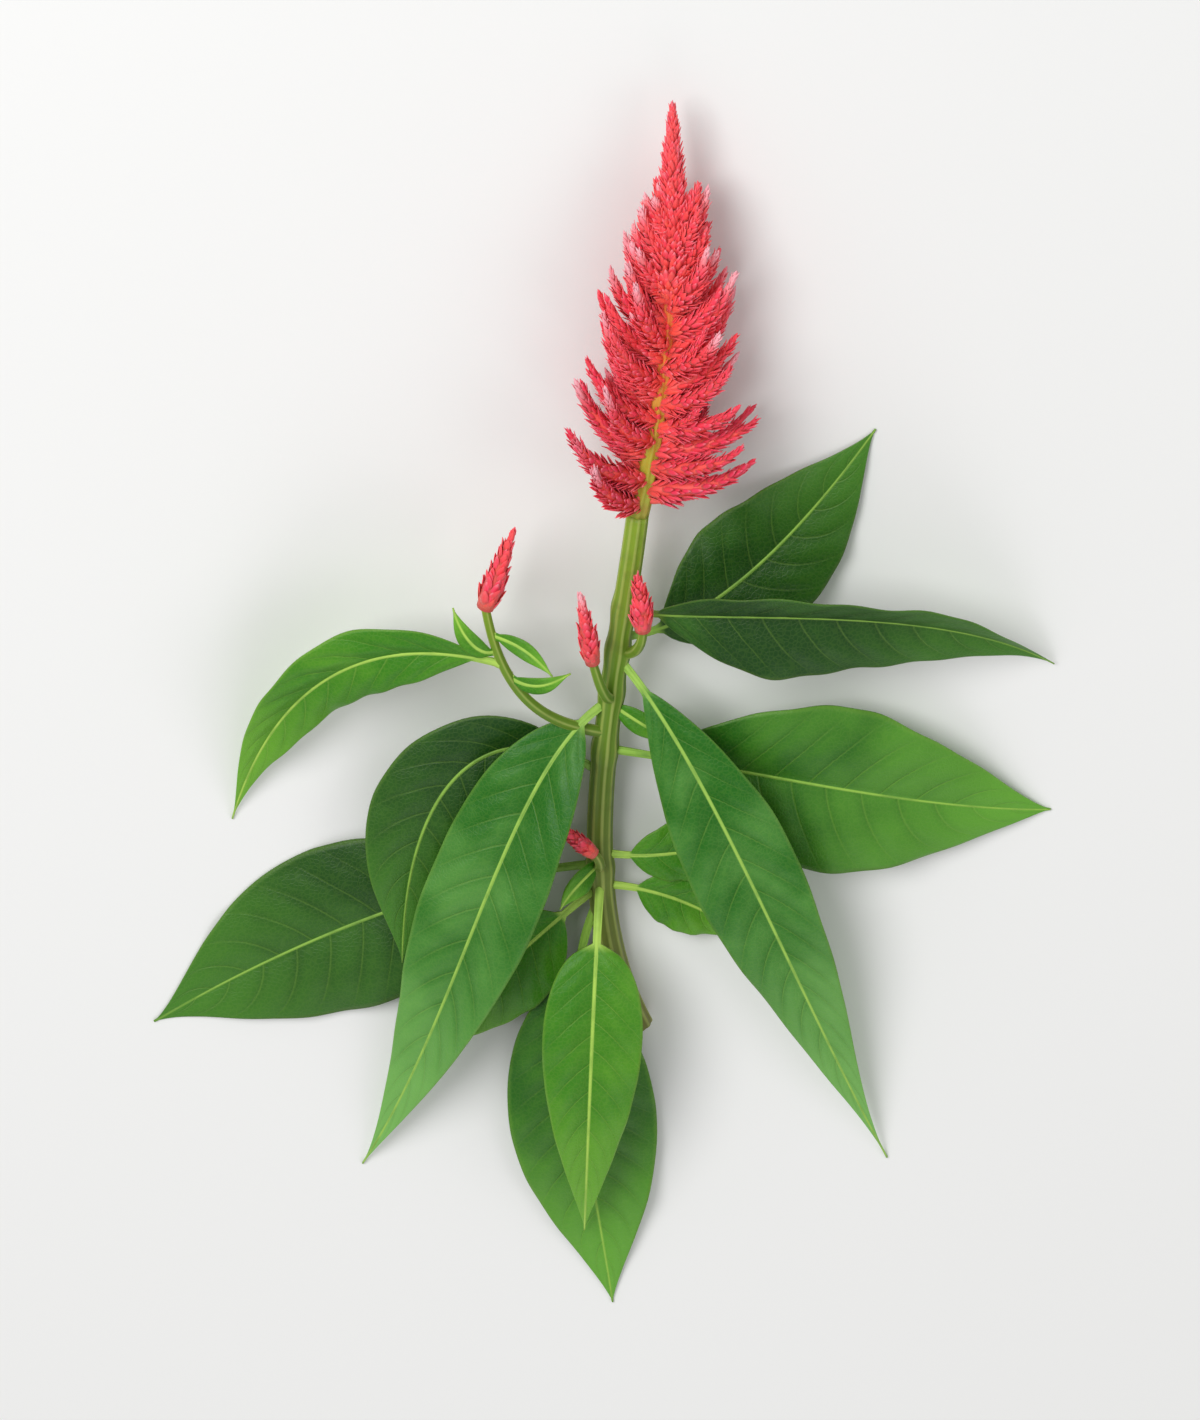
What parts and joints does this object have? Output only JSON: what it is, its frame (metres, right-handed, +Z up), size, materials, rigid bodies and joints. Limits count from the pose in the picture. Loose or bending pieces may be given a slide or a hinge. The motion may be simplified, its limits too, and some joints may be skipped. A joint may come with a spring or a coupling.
{
  "type": "cut celosia flower",
  "caption": "Cut feathery celosia: a pointed coral-pink plume on a ribbed green stem with long pointed leaves and small side spikes, lying flat.",
  "frame": {"origin": "on the table under the middle of the flower's outer box", "axes": "+Z up from the table, +Y along the flower from the cut end to the plume's tip, +X to the right as seen from above with the tip at the top"},
  "size_m": [0.2505, 0.3862, 0.0397],
  "materials": {
    "stem": "satin",
    "plume": "matte",
    "leaf": "satin"
  },
  "bodies": {
    "root": {"stem": "stem", "plume": "plume", "spike_side_shoot": "plume", "spike_front_left": "plume", "spike_front_right": "plume", "spike_low": "plume", "leaf_right_long": "leaf", "leaf_left_long": "leaf", "leaf_right_broad": "leaf", "leaf_right_upper": "leaf", "leaf_back_right": "leaf", "leaf_left_under": "leaf", "leaf_side_shoot": "leaf", "leaf_left_low": "leaf", "leaf_left_short": "leaf", "leaf_centre_front": "leaf", "leaf_centre_back": "leaf", "leaf_right_small": "leaf", "leaf_right_lowest": "leaf"}
  },
  "joints": []
}
